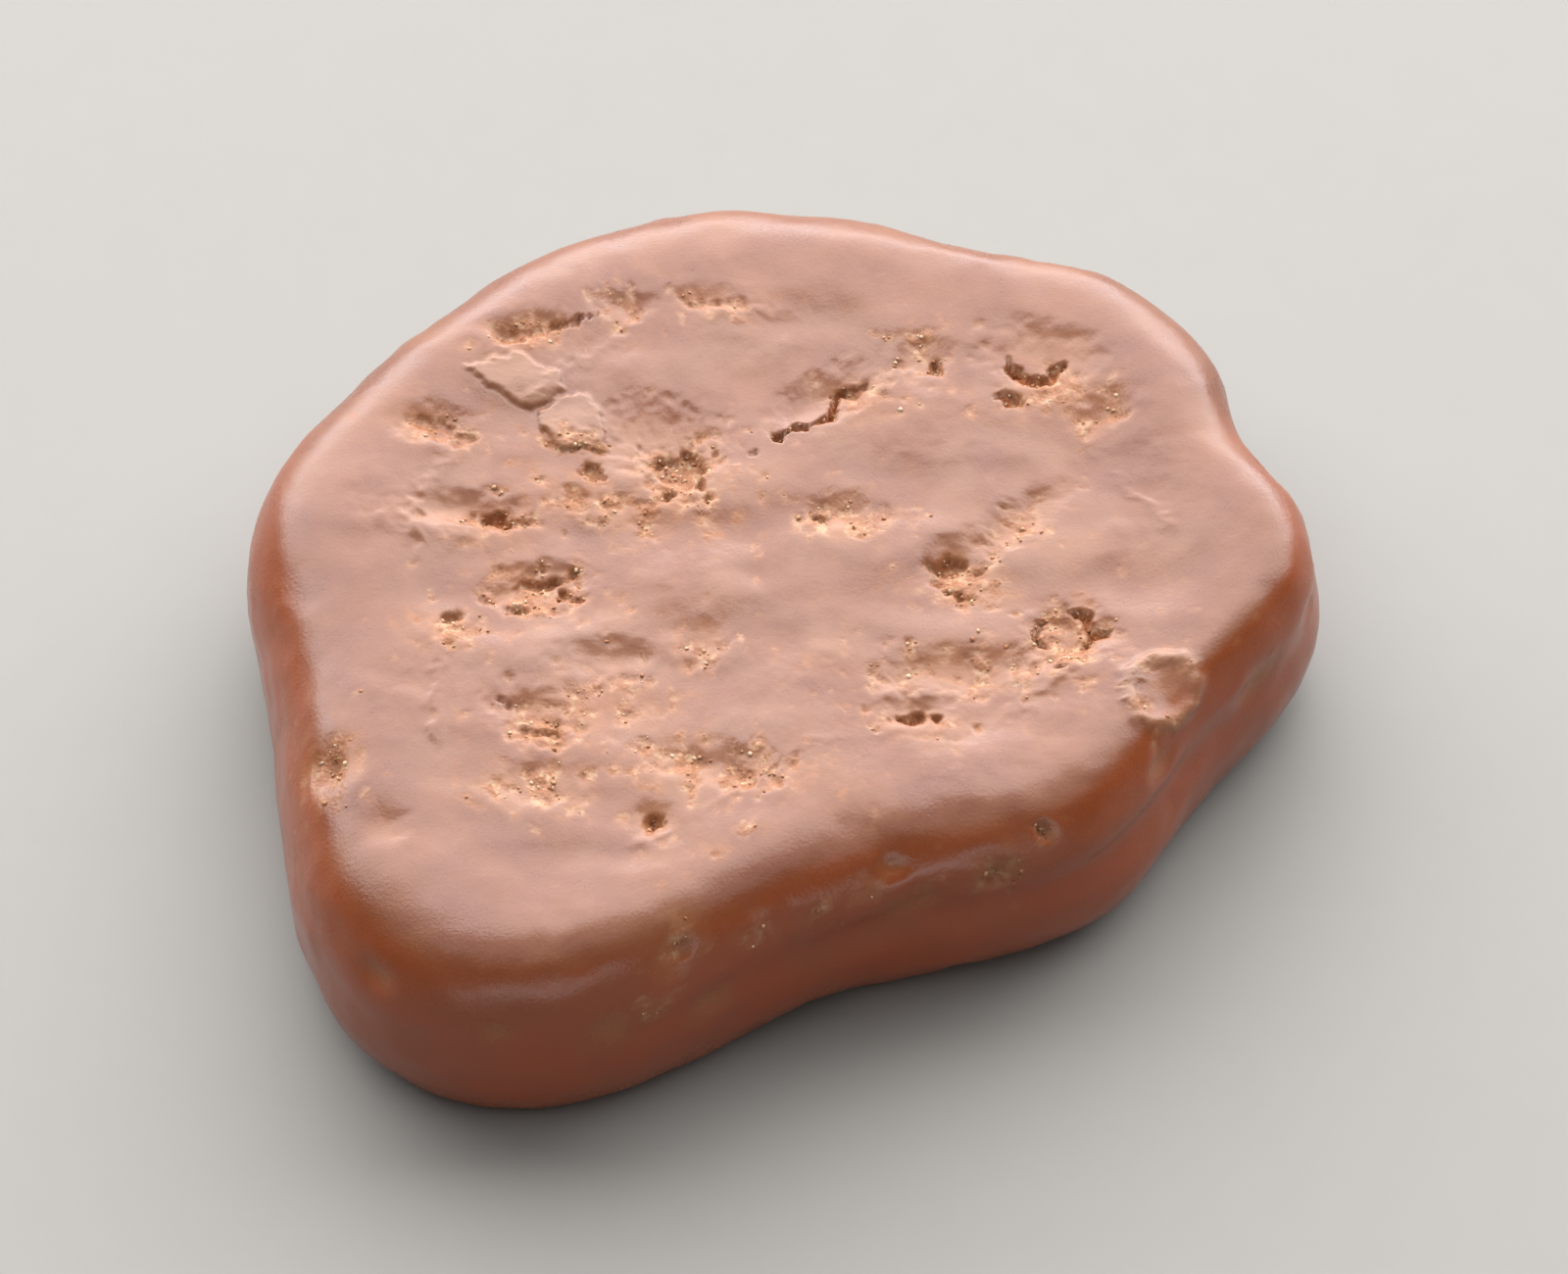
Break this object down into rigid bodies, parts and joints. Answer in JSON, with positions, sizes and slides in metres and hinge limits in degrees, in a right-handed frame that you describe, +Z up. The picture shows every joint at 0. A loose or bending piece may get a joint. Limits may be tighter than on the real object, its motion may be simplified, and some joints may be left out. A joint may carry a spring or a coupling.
{
  "type": "chocolate covered banana chip",
  "caption": "Crisp banana slice wholly covered in milk chocolate: a fat rounded rim round a pitted, crumbly face, lying on its flat foot.",
  "frame": {"origin": "middle of the chip's bounding box in plan, on the level of the flat foot it rests on", "axes": "+X along the chip's longest extent, to the right in the shown view; +Y away from the shown view's camera; +Z up, out of the pitted face"},
  "size_m": [0.0362, 0.0338, 0.0086],
  "materials": {
    "milk_chocolate": "milk chocolate, satin where the coat is thick, rough and paler in the crumbly pits"
  },
  "bodies": {
    "root": {"coated_chip": "milk_chocolate"}
  },
  "joints": []
}
